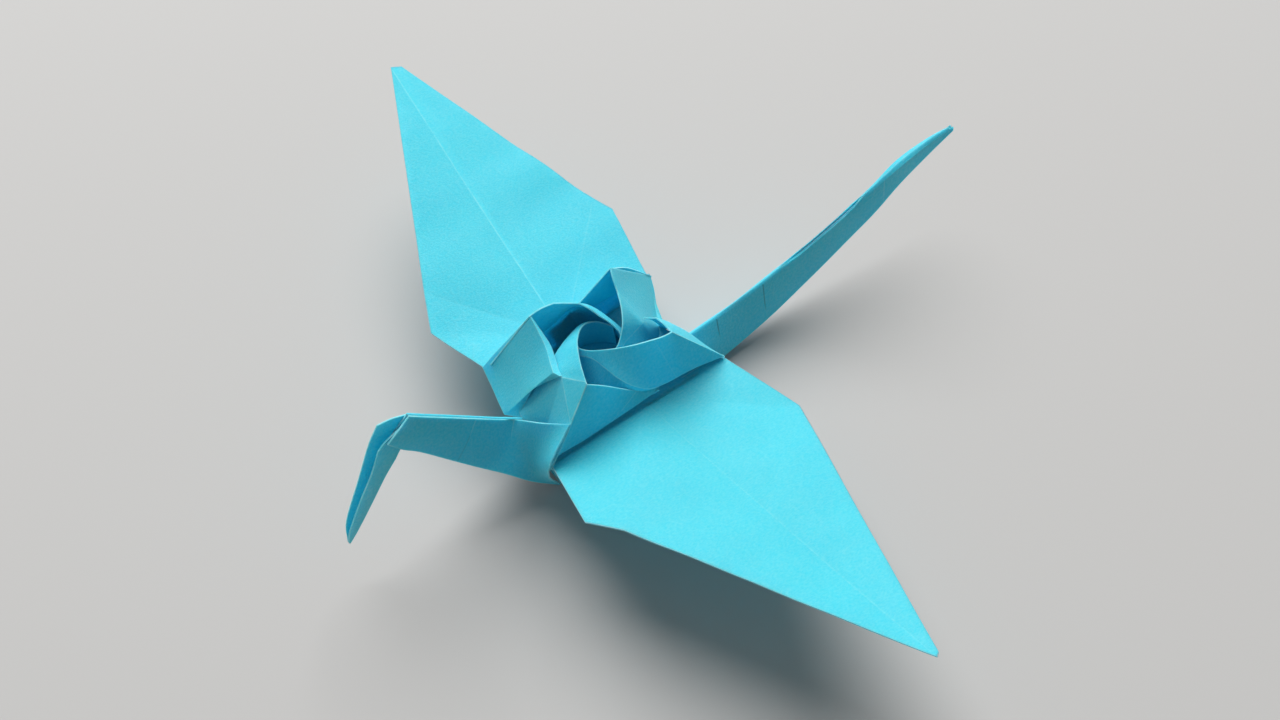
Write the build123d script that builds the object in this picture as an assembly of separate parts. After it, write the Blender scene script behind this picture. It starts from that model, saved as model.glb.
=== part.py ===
from build123d import *
import math
import os

# Origami crane with a four-petal rose folded on its back, from one square sheet of paper.
# Millimetres. +Z is up, +X points to the tail and the neck rises towards -X.
# The origin is the middle of the flat belly that the crane stands on.

# Paper
BODY_PAPER = 0.5            # pressed layers of the belly, neck, head and tail
WING_PAPER = 0.5            # a wing is two layers of the sheet
PETAL_PAPER = 0.4           # petals of the rose
DECK_PAPER = 0.6            # flat twist of layers under the rose

# Body
DECK_HEIGHT = 22.5          # table to the level that the wings and the rose leave from
DECK_HALF_LENGTH = 24.5     # rose axis to the corners, along the body
DECK_HALF_WIDTH = 15.6      # rose axis to the corners, across the body
DECK_PINCH = 6.0            # how far the deck is drawn in at the neck and at the tail
DECK_INSET = 0.8            # body corners stand this far inside the deck corners
BELLY_FRONT = 20.0          # rose axis to the front of the belly flat
BELLY_REAR = 23.0           # rose axis to the rear of the belly flat
BELLY_FRONT_HALF = 8.5      # half width of the belly flat at its front
BELLY_REAR_HALF = 6.5       # half width of the belly flat at its rear

# Wings
WING_LENGTH = 90.0          # deck edge to wing tip
WING_SHOULDER = 20.0        # deck edge to the widest line of the wing
WING_TIP_HALF_ANGLE = 22.5  # half of the folded tip angle
WING_RISE = 10.0            # angle of the wings above the level
WING_TWIST = 5.0            # one shoulder of each wing is lifted and the other drops
WING_SWEEP = 6.0            # tips set back towards the tail
WING_BEND = 0.12            # where the soft diagonal crease meets the lifted long edge
WING_BEND_LIFT = 1.0
WING_SEAM = 0.6             # gap where the two folded-in layers meet under a wing
WING_TUCK = 1.3             # paper that goes in under the rose

# Rose
PEAK_RADIUS = 16.6
PEAK_HEIGHT = 16.9          # above the deck
HEART_RADIUS = 5.0          # where the spiral rims end
HEART_HEIGHT = 11.7
SPIRAL_TURN = 129.0         # from a peak to the end of its rim
FOOT_LIFT = 2.3             # petal feet stand this far above the wings
FLAP_REACH = 5.6            # side flap of a petal, past the middle of the wing side
FLAP_END_HEIGHT = 2.9
FOOT_RETURN = 2.7           # paper under a petal's foot turns in this far to the deck
FLAP_RETURN_START = 17.5    # rose axis to the front end of the paper turned in under a side flap
PETAL_RETURN_END = 21.0     # rose axis to the rear end of the paper turned in under a wing petal
FRONT_FLAP_HEIGHT = 14.2    # rim of the flap that closes the neck side
REAR_FLAP_HEIGHT = 13.5     # rim of the flap that closes the tail side

# Neck, head and tail
RIDGE_HALF = 0.8            # half width of the soft fold along neck and tail
NECK_ROOT = 22.7            # rose axis to the place where the ridge meets the body
NECK_ROOT_DROP = 1.0        # that place under the deck
NECK_LENGTH = 37.0
NECK_RISE = 45.0
NECK_ROOT_DEPTH = 12.5
NECK_END_DEPTH = 8.6
NECK_ROOT_SPLAY = 6.2       # half opening under the neck, near side
NECK_FAR_SPLAY = 3.0        # half opening under the neck, far side
NECK_END_SPLAY = 1.0
NECK_TUCK = 13.0            # length of the neck's walls inside the body
NECK_FAR_LAP = 4.6          # the far corner of the body laps this far up the ridge
HEAD_LENGTH = 29.0
HEAD_DROP = 52.0            # slope of the head below the level
HEAD_CROWN = 9.6            # wall at the crown, from the chin to the top edge
HEAD_DEPTH = 5.6            # wall a third of the way down the bill
HEAD_SPLAY = 1.7
TAIL_ROOT = 18.0            # rose axis to the place where the ridge meets the body
TAIL_ROOT_DROP = 7.4        # that place under the deck
TAIL_LENGTH = 93.0
TAIL_RISE = 18.9            # tip above the root
TAIL_ROOT_DEPTH = 14.8
TAIL_MIDDLE_DEPTH = 12.6
TAIL_ROOT_SPLAY = 5.2
TAIL_MIDDLE_SPLAY = 2.0
NEAR_STERN = 12.0           # how far the near side of the body runs on along the tail
FAR_STERN = 2.0
TIP_DEPTH = 1.2             # blunt ends of the head and the tail
TIP_HALF = 0.6

# Sides, and directions of the rose's peaks in degrees
NEAR = -1
FAR = 1
HALF_TURN = 180
PETAL_TURN = 90
NEAR_FRONT = -135
NEAR_REAR = NEAR_FRONT + PETAL_TURN
FAR_FRONT = NEAR_FRONT - PETAL_TURN


def at(x, y, z):
    """A point whose height is counted from the deck."""
    return Vector(x, y, DECK_HEIGHT + z)


def polar(radius, degrees, z):
    """A point of the rose by radius, direction and height above the deck."""
    angle = math.radians(degrees)
    return at(radius * math.cos(angle), radius * math.sin(angle), z)


def between(values, share):
    """Straight interpolation through evenly spaced values."""
    place = share * (len(values) - 1)
    low = min(int(place), len(values) - 2)
    return values[low] + (values[low + 1] - values[low]) * (place - low)


def half_turned(solid):
    """The solid on the other side of the rose axis."""
    return solid.rotate(Axis.Z, HALF_TURN)


def corner_shift(normals, thickness):
    """Move that carries a corner one thickness inwards from every panel that meets there."""
    axes = (Vector(1, 0, 0), Vector(0, 1, 0), Vector(0, 0, 1))
    a, b, c = (sum((n * n.dot(axis) for n in normals), axis * 0.02) for axis in axes)
    wanted = sum(normals, Vector(0, 0, 0)) * -thickness
    size = a.dot(b.cross(c))
    return Vector(
        wanted.dot(b.cross(c)) / size,
        a.dot(wanted.cross(c)) / size,
        a.dot(b.cross(wanted)) / size,
    )


def folded_sheet(corners, panels, thickness, inside):
    """Flat panels that share folded edges, thickened towards the point inside."""
    outward = {name: [] for name in corners}
    triangles = []
    for panel in panels:
        for second, third in zip(panel[1:], panel[2:]):
            names = [panel[0], second, third]
            a, b, c = (corners[name] for name in names)
            normal = (b - a).cross(c - a).normalized()
            if normal.dot(a - inside) < 0:
                normal = normal * -1
                names.reverse()
            triangles.append(names)
            for name in names:
                outward[name].append(normal)
    back = {name: corners[name] + corner_shift(outward[name], thickness) for name in corners}
    faces = []
    free_edges = {}
    for names in triangles:
        faces.append(Face(Wire.make_polygon([corners[name] for name in names])))
        faces.append(Face(Wire.make_polygon([back[name] for name in reversed(names)])))
        for edge in zip(names, names[1:] + names[:1]):
            key = frozenset(edge)
            if key in free_edges:
                del free_edges[key]
            else:
                free_edges[key] = edge
    for a, b in free_edges.values():
        faces.append(Face(Wire.make_polygon([corners[a], back[a], corners[b]])))
        faces.append(Face(Wire.make_polygon([corners[b], back[a], back[b]])))
    return Solid(Shell(faces))


def curled_sheet(rim, foot, fold_at, fold_out, side, stations=7):
    """Sheet of paper between a rim and a foot curve, with one soft fold running along it."""
    sections = []
    for index in range(stations):
        share = index / (stations - 1)
        top = rim @ share
        bottom = foot @ share
        along = rim % share + foot % share
        out = along.cross(bottom - top).normalized() * side
        fold = top + (bottom - top) * between(fold_at, share) + out * between(fold_out, share)
        back = out * -PETAL_PAPER
        outline = [top, fold, bottom, bottom + back, fold + back, top + back]
        sections.append(Face(Wire.make_polygon(outline)))
    return loft(sections, ruled=True)


def channel(stations, thickness):
    """Folded strip, open along one side: a spine with two walls that splay from it."""
    sections = []
    for spine, reach, spine_half, near_open, far_open in stations:
        inner = reach.normalized() * thickness
        half = Vector(0, spine_half, 0)
        near = spine + reach - Vector(0, near_open, 0)
        far = spine + reach + Vector(0, far_open, 0)
        wall = Vector(0, thickness, 0)
        outline = [
            near,
            spine - half,
            spine + half,
            far,
            far - wall,
            spine + half - wall + inner,
            spine - half + wall + inner,
            near + wall,
        ]
        sections.append(Face(Wire.make_polygon(outline)))
    return loft(sections, ruled=True)


# Corners of the deck
front_near = at(-DECK_HALF_LENGTH, -DECK_HALF_WIDTH, 0)
rear_near = at(DECK_HALF_LENGTH, -DECK_HALF_WIDTH, 0)
rear_far = at(DECK_HALF_LENGTH, DECK_HALF_WIDTH, 0)
front_far = at(-DECK_HALF_LENGTH, DECK_HALF_WIDTH, 0)
front_pinch = at(-(DECK_HALF_LENGTH - DECK_PINCH), 0, 0)
rear_pinch = at(DECK_HALF_LENGTH - DECK_PINCH, 0, 0)
DECK_OUTLINE = [front_near, rear_near, rear_pinch, rear_far, front_far, front_pinch]
IN_DECK = Vector(0, 0, -DECK_PAPER / 2)

# Lines of the neck, head and tail, all in the middle plane
neck_axis = Vector(-math.cos(math.radians(NECK_RISE)), 0, math.sin(math.radians(NECK_RISE)))
neck_down = Vector(-math.sin(math.radians(NECK_RISE)), 0, -math.cos(math.radians(NECK_RISE)))
head_axis = Vector(-math.cos(math.radians(HEAD_DROP)), 0, -math.sin(math.radians(HEAD_DROP)))
head_up = Vector(-math.sin(math.radians(HEAD_DROP)), 0, math.cos(math.radians(HEAD_DROP)))
neck_root = at(-NECK_ROOT, 0, -NECK_ROOT_DROP)
tail_root = at(TAIL_ROOT, 0, -TAIL_ROOT_DROP)


def deck():
    """Flat twist that carries the rose."""
    plate = Face(Wire.make_polygon(DECK_OUTLINE))
    return Solid.extrude(plate, Vector(0, 0, -DECK_PAPER))


def neck_station(distance, depth, near_open, far_open):
    """Section of the neck at a distance along its ridge."""
    return neck_root + neck_axis * distance, neck_down * depth, RIDGE_HALF, near_open, far_open


def neck():
    """Folded strip from inside the body up to the head."""
    middle_depth = (NECK_ROOT_DEPTH + NECK_END_DEPTH) / 2 + 0.6
    middle_near = (NECK_ROOT_SPLAY + NECK_END_SPLAY) / 2 - 0.8
    middle_far = (NECK_FAR_SPLAY + NECK_END_SPLAY) / 2
    stations = [
        neck_station(-NECK_TUCK, NECK_ROOT_DEPTH, NECK_ROOT_SPLAY, NECK_FAR_SPLAY),
        neck_station(0, NECK_ROOT_DEPTH, NECK_ROOT_SPLAY, NECK_FAR_SPLAY),
        neck_station(NECK_LENGTH / 2, middle_depth, middle_near, middle_far),
        neck_station(NECK_LENGTH, NECK_END_DEPTH, NECK_END_SPLAY, NECK_END_SPLAY),
    ]
    return channel(stations, BODY_PAPER)


def head():
    """Inside reverse fold: a trough that hangs from the end of the neck and opens forwards."""
    chin = neck_root + neck_axis * (NECK_LENGTH - 4) + neck_down * NECK_END_DEPTH
    throat = chin - neck_axis * 3 - neck_down
    crown = neck_root + neck_axis * NECK_LENGTH - neck_down * 0.4
    brow = head_up - head_axis * 0.62
    crown_wall = (brow - head_axis * 0.4).normalized() * HEAD_CROWN
    brow_wall = brow.normalized() * HEAD_CROWN * 0.92
    stations = [
        (throat, crown - throat, TIP_HALF, HEAD_SPLAY * 0.75, HEAD_SPLAY * 0.75),
        (chin - head_axis, crown_wall, TIP_HALF, HEAD_SPLAY * 0.9, HEAD_SPLAY),
        (chin + head_axis * 2, brow_wall, TIP_HALF, HEAD_SPLAY, HEAD_SPLAY),
        (chin + head_axis * HEAD_LENGTH * 0.36, head_up * HEAD_DEPTH, TIP_HALF, HEAD_SPLAY, HEAD_SPLAY),
        (chin + head_axis * HEAD_LENGTH, head_up * TIP_DEPTH, TIP_HALF, TIP_HALF, TIP_HALF),
    ]
    return channel(stations, BODY_PAPER / 2)


def tail():
    """Folded strip that sweeps up to a point behind the body."""
    line = Spline(
        tail_root,
        tail_root + Vector(TAIL_LENGTH * 0.24, 0, TAIL_RISE * 0.11),
        tail_root + Vector(TAIL_LENGTH * 0.55, 0, TAIL_RISE * 0.47),
        tail_root + Vector(TAIL_LENGTH * 0.81, 0, TAIL_RISE * 0.97),
        tail_root + Vector(TAIL_LENGTH, 0, TAIL_RISE),
    )
    end_depth = TAIL_MIDDLE_DEPTH * 0.55
    depths = (
        TAIL_ROOT_DEPTH,
        TAIL_ROOT_DEPTH,
        TAIL_MIDDLE_DEPTH + 1,
        TAIL_MIDDLE_DEPTH - 1,
        end_depth + 2.6,
        end_depth,
        TIP_DEPTH,
    )
    splays = (
        TAIL_ROOT_SPLAY,
        TAIL_MIDDLE_SPLAY + 1.5,
        TAIL_MIDDLE_SPLAY + 0.4,
        TAIL_MIDDLE_SPLAY,
        TAIL_MIDDLE_SPLAY * 0.75,
        TAIL_MIDDLE_SPLAY * 0.5,
        TIP_HALF,
    )
    stations = []
    for index, (depth, splay) in enumerate(zip(depths, splays)):
        share = index / (len(depths) - 1)
        spine_half = RIDGE_HALF + (TIP_HALF - RIDGE_HALF) * share
        stations.append((line @ share, Vector(0, 0, -depth), spine_half, splay, splay))
    return channel(stations, BODY_PAPER)


def belly():
    """Boat-like body under the deck, with a flat that the crane stands on."""
    seat = BODY_PAPER / 2
    near_neck = (neck_root, neck_root + neck_down * NECK_ROOT_DEPTH, NECK_ROOT_SPLAY)
    far_neck = (
        neck_root + neck_axis * NECK_FAR_LAP,
        neck_root - neck_axis * (NECK_TUCK - 2) + neck_down * NECK_ROOT_DEPTH * 0.75,
        NECK_FAR_SPLAY * 0.82,
    )
    corners = {}
    panels = []
    for side, deck_front, deck_rear, (neck_top, neck_low, neck_open), tail_reach in (
        (NEAR, front_near, rear_near, near_neck, NEAR_STERN),
        (FAR, front_far, rear_far, far_neck, FAR_STERN),
    ):
        tail_low = tail_root + Vector(tail_reach, 0, 1 - TAIL_ROOT_DEPTH)
        inward = Vector(0, -side * seat, 0)
        names = {}
        places = {
            "deck_front": deck_front + IN_DECK + inward * 1.5 + Vector(DECK_INSET, 0, 0),
            "deck_rear": deck_rear + IN_DECK + inward * 1.5 - Vector(DECK_INSET, 0, 0),
            "belly_front": Vector(-BELLY_FRONT, side * BELLY_FRONT_HALF, 0),
            "belly_rear": Vector(BELLY_REAR, side * BELLY_REAR_HALF, 0),
            "neck_top": neck_top + Vector(0, side * RIDGE_HALF, -seat) + inward,
            "neck_low": neck_low + Vector(0, side * neck_open, 0) + inward,
            "tail_top": tail_root + Vector(0, side * RIDGE_HALF, -seat) + inward,
            "tail_low": tail_low + Vector(0, side * (TAIL_ROOT_SPLAY - 1.2), 0) + inward,
        }
        for name, place in places.items():
            names[name] = f"{name} {side}"
            corners[names[name]] = place
        panels += [
            [names["deck_front"], names["deck_rear"], names["belly_rear"], names["belly_front"]],
            [names["deck_front"], names["belly_front"], names["neck_low"]],
            [names["deck_front"], names["neck_low"], names["neck_top"]],
            [names["deck_rear"], names["tail_low"], names["belly_rear"]],
            [names["deck_rear"], names["tail_top"], names["tail_low"]],
        ]
    panels.append(
        [f"belly_front {NEAR}", f"belly_front {FAR}", f"belly_rear {FAR}", f"belly_rear {NEAR}"]
    )
    return folded_sheet(corners, panels, BODY_PAPER, at(0, 0, -DECK_HEIGHT / 2))


def web(deck_corners, pinch, root):
    """Flat triangles that close the body between the deck and the root of the neck or tail."""
    corners = {"pinch": pinch + IN_DECK, "root": root - Vector(0, 0, BODY_PAPER / 2)}
    panels = []
    for index, deck_corner in enumerate(deck_corners):
        corners[index] = deck_corner + IN_DECK
        panels.append([index, "pinch", "root"])
    return folded_sheet(corners, panels, BODY_PAPER, at(0, 0, -DECK_HEIGHT))


def wing(side):
    """One wing: five flat panels round the middle of its root, with a seam on the underside."""
    rise = math.radians(WING_RISE)
    half = (WING_LENGTH - WING_SHOULDER) * math.tan(math.radians(WING_TIP_HALF_ANGLE))
    twist = math.sin(math.radians(WING_TWIST)) * half

    def place(distance, x, lift):
        y = side * (DECK_HALF_WIDTH + distance * math.cos(rise))
        sweep = WING_SWEEP * max(distance, 0) / WING_LENGTH
        return at(x + sweep, y, distance * math.sin(rise) + lift) + IN_DECK / 2

    lifted = side
    tip = place(WING_LENGTH, 0, 0)
    lifted_shoulder = place(WING_SHOULDER, lifted * half, twist)
    bend = lifted_shoulder + (tip - lifted_shoulder) * WING_BEND + Vector(0, 0, WING_BEND_LIFT)
    root = place(-WING_TUCK, 0, 0)
    corners = {
        "root": root,
        "lifted_root": place(-WING_TUCK, lifted * (DECK_HALF_LENGTH - 0.3), 0),
        "lifted_shoulder": lifted_shoulder,
        "bend": bend,
        "tip": tip,
        "low_shoulder": place(WING_SHOULDER, -lifted * half, -twist),
        "low_root": place(-WING_TUCK, -lifted * (DECK_HALF_LENGTH - 0.3), 0),
    }
    panels = [
        ["root", "lifted_root", "lifted_shoulder"],
        ["root", "lifted_shoulder", "bend"],
        ["root", "bend", "tip"],
        ["root", "tip", "low_shoulder"],
        ["root", "low_shoulder", "low_root"],
    ]
    plate = folded_sheet(corners, panels, WING_PAPER, Vector(0, 0, -10 * WING_LENGTH))
    middle = root + (tip - root) * 0.55
    line = (tip - root).normalized()
    up = Vector(1, 0, 0).cross(line)
    if up.Z < 0:
        up = up * -1
    seam_plane = Plane(origin=middle - up * WING_PAPER, x_dir=line, z_dir=up)
    seam = seam_plane * Box(WING_LENGTH * 0.86, WING_SEAM, WING_PAPER)
    return plate - seam


def spiral_rim(start):
    """Rim of one petal, from its peak in to the heart of the rose."""
    turn_shares = (0, 0.07, 0.25, 0.535, 1)
    radius_shares = (1, 0.72, 0.29, 0.045, 0)
    height_shares = (1, 1.08, 1, 0.54, 0)
    points = []
    for turn, radius, height in zip(turn_shares, radius_shares, height_shares):
        points.append(polar(
            HEART_RADIUS + (PEAK_RADIUS - HEART_RADIUS) * radius,
            start - SPIRAL_TURN * turn,
            HEART_HEIGHT + (PEAK_HEIGHT - HEART_HEIGHT) * height,
        ))
    return Spline(*points)


def lip_points(start):
    """Crease where a petal turns down into the rose, ending under the end of its rim."""
    return [
        polar(HEART_RADIUS * 2.5, start - 49, HEART_HEIGHT * 0.7265),
        polar(HEART_RADIUS * 1.5, start - 74, HEART_HEIGHT * 0.966),
        polar(HEART_RADIUS * 1.16, start - 123, HEART_HEIGHT * 0.8975),
    ]


def body_petal(start):
    """Petal whose foot runs along the neck or tail side of the deck."""
    foot = Spline(
        front_near + IN_DECK,
        front_near + (front_pinch - front_near) * 0.45 + Vector(0.5, 0, 0) + IN_DECK,
        front_pinch + Vector(0.3, -2.6, 1.5),
        *lip_points(start),
    )
    fold_at = (0.5, 0.25, 0.35, 0.5, 0.5)
    fold_out = (0.1, 2.6, 1.6, 0.8, 0.2)
    return curled_sheet(spiral_rim(start), foot, fold_at, fold_out, 1, 9)


def wing_petal(start):
    """Petal whose foot runs along a wing, a little above it."""
    foot = Spline(
        rear_near + Vector(0, 0, FOOT_LIFT - 0.3),
        at(DECK_HALF_LENGTH * 0.62, -DECK_HALF_WIDTH + 0.4, FOOT_LIFT + 0.6),
        at(FLAP_REACH, -DECK_HALF_WIDTH + 1.2, FOOT_LIFT + 0.6),
        *lip_points(start),
    )
    fold_at = (0.5, 0.4, 0.4, 0.5, 0.5)
    fold_out = (0.1, 0.8, 0.9, 0.7, 0.2)
    return curled_sheet(spiral_rim(start), foot, fold_at, fold_out, 1, 9)


def wing_flap(start):
    """Side flap of a petal, in front of its neighbour on the wing side."""
    rim = Spline(
        polar(PEAK_RADIUS, start, PEAK_HEIGHT),
        at(0.3, -DECK_HALF_WIDTH + 1.9, FOOT_LIFT + 3.4),
        at(FLAP_REACH, -DECK_HALF_WIDTH + 1.0, FLAP_END_HEIGHT + 0.4),
    )
    foot = Spline(
        front_near + IN_DECK,
        at(-DECK_HALF_LENGTH * 0.6, -DECK_HALF_WIDTH + 0.3, FOOT_LIFT - 0.2),
        at(FLAP_REACH - 0.6, -DECK_HALF_WIDTH + 0.6, FOOT_LIFT - 0.2),
    )
    return curled_sheet(rim, foot, (0.5, 0.5), (0.1, 0.3, 0.1), -1)


def front_flap(start):
    """Flap that closes the neck side, from the far front corner to the near front petal."""
    rim = Spline(
        polar(PEAK_RADIUS, start, PEAK_HEIGHT),
        at(PEAK_RADIUS * -0.717, PEAK_RADIUS * 0.386, FRONT_FLAP_HEIGHT * 1.035),
        at(PEAK_RADIUS * -0.813, PEAK_RADIUS * -0.012, FRONT_FLAP_HEIGHT),
        at(PEAK_RADIUS * -0.843, PEAK_RADIUS * -0.289, FRONT_FLAP_HEIGHT),
    )
    foot = Spline(
        front_far + IN_DECK,
        front_far + (neck_root + neck_axis * NECK_FAR_LAP - front_far) * 0.5,
        neck_root + neck_axis * NECK_FAR_LAP + Vector(0.2, 1.2, -0.2),
        neck_root + neck_axis * 2.0 + Vector(0.4, -0.6, 0.5),
    )
    return curled_sheet(rim, foot, (0.3, 0.3), (0.1, 0.9, 1.2, 0.8), -1)


def rear_flap(start):
    """Flap that closes the tail side, from the near rear corner to the far rear petal."""
    rim = Spline(
        polar(PEAK_RADIUS, start, PEAK_HEIGHT),
        at(PEAK_RADIUS * 0.765, PEAK_RADIUS * -0.506, REAR_FLAP_HEIGHT * 1.044),
        at(PEAK_RADIUS * 0.807, PEAK_RADIUS * -0.241, REAR_FLAP_HEIGHT * 0.911),
        at(PEAK_RADIUS * 0.855, PEAK_RADIUS * 0.163, REAR_FLAP_HEIGHT * 0.444),
    )
    foot = Spline(
        rear_near + IN_DECK,
        rear_near + (rear_pinch - rear_near) * 0.5 + IN_DECK,
        rear_pinch + Vector(0.5, 1.0, 0) + IN_DECK,
        rear_pinch + Vector(0.2, 3.2, 0) + IN_DECK,
    )
    return curled_sheet(rim, foot, (0.4, 0.4), (0.1, 0.6, 0.4), -1)


def inner_turn(start):
    """Wall that drops from the lip of a petal to the deck."""
    lip = Spline(*lip_points(start))
    foot = Spline(
        polar(HEART_RADIUS * 2.6, start - 75, -DECK_PAPER / 2),
        polar(HEART_RADIUS * 2.14, start - 96, -DECK_PAPER / 2),
        polar(HEART_RADIUS * 1.7, start - 135, -DECK_PAPER / 2),
    )
    return curled_sheet(lip, foot, (0.5, 0.5), (0.4, 0.4), 1, 5)


def foot_return(start, end, start_edge, end_edge, lift):
    """Paper that turns in under a petal's foot to the deck, its edge counted from the deck's side."""
    first = at(start, -DECK_HALF_WIDTH + start_edge, 0)
    second = at(end, -DECK_HALF_WIDTH + end_edge, 0)
    raised = Vector(0, 0, lift)
    turned_in = Vector(0, FOOT_RETURN, 0) + IN_DECK
    outer = Line(first + raised, second + raised)
    inner = Line(first + turned_in, second + turned_in)
    return curled_sheet(outer, inner, (0.5, 0.5), (0, 0), -1, 2)


def gusset():
    """Corner of the neck's near wall that stands against the near front ridge."""
    peak = polar(PEAK_RADIUS, NEAR_FRONT, PEAK_HEIGHT)
    corners = {
        "corner": front_near + IN_DECK,
        "ridge": front_near + (peak - front_near) * 0.52,
        "neck": neck_root + Vector(0, -RIDGE_HALF / 2, -BODY_PAPER / 2),
    }
    return folded_sheet(corners, [list(corners)], BODY_PAPER, at(0, 0, 0))


near_pieces = [
    body_petal(NEAR_FRONT),
    wing_petal(NEAR_REAR),
    wing_flap(NEAR_FRONT),
    foot_return(-FLAP_RETURN_START, FLAP_REACH - 1, 0.5, 0.8, FOOT_LIFT),
    foot_return(FLAP_REACH + 0.4, PETAL_RETURN_END, 1.2, 0.5, FOOT_LIFT + 0.7),
]
pieces = near_pieces + [half_turned(piece) for piece in near_pieces]
pieces += [inner_turn(NEAR_FRONT + PETAL_TURN * index) for index in range(4)]
pieces += [front_flap(FAR_FRONT), rear_flap(NEAR_REAR), gusset()]
pieces += [web([front_near], front_pinch, neck_root)]
pieces += [web([rear_near, rear_far], rear_pinch, tail_root)]
pieces += [belly(), neck(), head(), tail(), wing(NEAR), wing(FAR)]

crane = deck().fuse(*pieces)
os.makedirs("parts", exist_ok=True)
export_step(crane, "parts/folded_crane.step")
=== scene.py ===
"""Origami crane with a spiral rose on its back, folded from one sheet of turquoise paper."""

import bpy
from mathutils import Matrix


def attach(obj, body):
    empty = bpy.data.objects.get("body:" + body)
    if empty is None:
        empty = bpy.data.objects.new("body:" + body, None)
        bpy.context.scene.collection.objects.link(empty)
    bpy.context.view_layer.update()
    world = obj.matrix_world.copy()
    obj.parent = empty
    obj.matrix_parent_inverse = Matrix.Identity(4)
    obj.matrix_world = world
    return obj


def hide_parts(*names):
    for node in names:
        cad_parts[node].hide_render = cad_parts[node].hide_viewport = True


bl_info = {
    "name": "Rose crane",
    "version": (1, 0, 0),
    "blender": (4, 5, 0),
    "location": "View3D > Sidebar > Crane",
    "description": "Folds the paper crane with a rose on its back over its packed solid",
    "category": "Object",
}

import math
from collections import namedtuple

import bmesh
import bpy
from bpy.props import FloatProperty, FloatVectorProperty, PointerProperty
from bpy.types import NodeSocket, Operator, Panel, PropertyGroup
from mathutils import Matrix, Vector, noise
from mathutils.geometry import interpolate_bezier

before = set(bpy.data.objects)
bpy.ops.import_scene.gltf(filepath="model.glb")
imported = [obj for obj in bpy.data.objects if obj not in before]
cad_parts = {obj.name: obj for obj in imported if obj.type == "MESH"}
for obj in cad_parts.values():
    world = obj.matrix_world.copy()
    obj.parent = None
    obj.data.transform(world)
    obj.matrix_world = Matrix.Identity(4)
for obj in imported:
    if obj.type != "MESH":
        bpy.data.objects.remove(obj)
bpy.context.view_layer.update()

NODE = "folded_crane"
MM = 0.001
DECK = 22.5                # height of the deck in mm; guide points count their height from it

# A line along a row or column of a sheet. Above 0 it is rubbed pale, which also paints the highlight of a
# rounded fold; below 0 it is painted shade in the crease.
Crease = namedtuple("Crease", "kind place wear start end")
# A line from a wing's root to one of its corners, how pale it is rubbed, which is partly painted highlight,
# and how deep it is pressed in mm
WingCrease = namedtuple("WingCrease", "corner wear valley")

# How every sheet is laid
ALONG = 5                  # steps from one guide point to the next
ACROSS = 4                 # steps from one guide line to the next
LONGEST_HANDLE = 1.2       # longest curve handle, as a share of a straight one
EDGE_WIDTH = 0.28          # pale line along edges and creases in mm
WIDEST_EDGE = 0.45         # its limit, as a share of the step that it stands in
SAME_PLACE = 1e-6          # places on a sheet closer than this are one
BESIDE = 0.001             # place of an added row beside a marked one
BUCKLE_SCALE = 0.06        # how closely the gentle buckles follow one another
BUCKLE_START = Vector((3.1, 0.7, 5.3))
STEEPEST_SHELL = 1.6       # limit on the extra thickness at sharp folds
SHARP_FOLD = 32            # degrees from which a fold looks sharp
CUT_SNAP = 0.01            # mm within which a cut takes a corner that is there

# Layers of paper in each part, as shares of the petals' thickness
WING_LAYERS = 0.75
BODY_LAYERS = 1.2
NECK_LAYERS = 1.3
TAIL_LAYERS = 1.3

# Guide lines of the rose in mm, from the rose axis. The rows of one sheet run from its rim,
# over its crease, to its foot, and the points of a row stand under those of the row above.
# Many points began on sight lines of the reference picture, and were then set one by one.
FRONT_PETAL = (
    ((-11.6, -11.9, 16.9), (-11.45, -11.4, 17), (-9.6, -6.6, 17.4), (-7, -1.6, 16.6), (-4.7, 1.8, 14.3),
     (-2.1, 4.6, 12.6), (0.2, 5.3, 12), (2.9, 4.6, 11), (5.2, 2, 10)),
    ((-18.3, -14.5, 9.9), (-13.9, -5.2, 14), (-13.9, -1.8, 12.6), (-12, 1.3, 11.2), (-9.5, 3.4, 11),
     (-5, 5.4, 11), (-0.6, 6.5, 11), (2.6, 6, 9.8), (5.8, 3.2, 8.8)),
    ((-25.6, -15.7, -0.4), (-21.8, -7.2, -0.6), (-22.8, 0.4, -0.6), (-20.6, 4.6, -0.4), (-13, 7.5, -0.4),
     (-6.6, 8.5, -0.4), (0, 8.5, -0.4), (4, 7, -0.4), (7, 4, -0.4)),
)
REAR_PETAL = (
    ((11.2, 10.8, 18.4), (10.2, 8.3, 17.5), (9.7, 6.5, 16.4), (9.4, 5.5, 16), (7.7, 1.7, 15.8),
     (5.4, -2, 14.8), (3.4, -3.7, 13.2), (1.4, -4.7, 12), (-1.8, -4.9, 11), (-4.6, -2.8, 10)),
    ((18.5, 13.3, 9.1), (17.2, 10.3, 8.2), (14.2, 3.9, 7.9), (12.5, 0.1, 8.3), (11, -1.4, 9.6),
     (7.4, -3, 10.6), (3.8, -4.6, 11.6), (1.6, -5.8, 11), (-2.2, -6.2, 9.8), (-5.4, -3.6, 8.8)),
    ((25.7, 15.8, -0.2), (24.2, 12.2, -1), (20.9, 6.3, -1.2), (18, 1, -1), (14, -3.5, -0.4),
     (11.4, -6.6, -0.4), (6.6, -8.5, -0.4), (0, -8.5, -0.4), (-4, -7, -0.4), (-7, -4, -0.4)),
)
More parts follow.
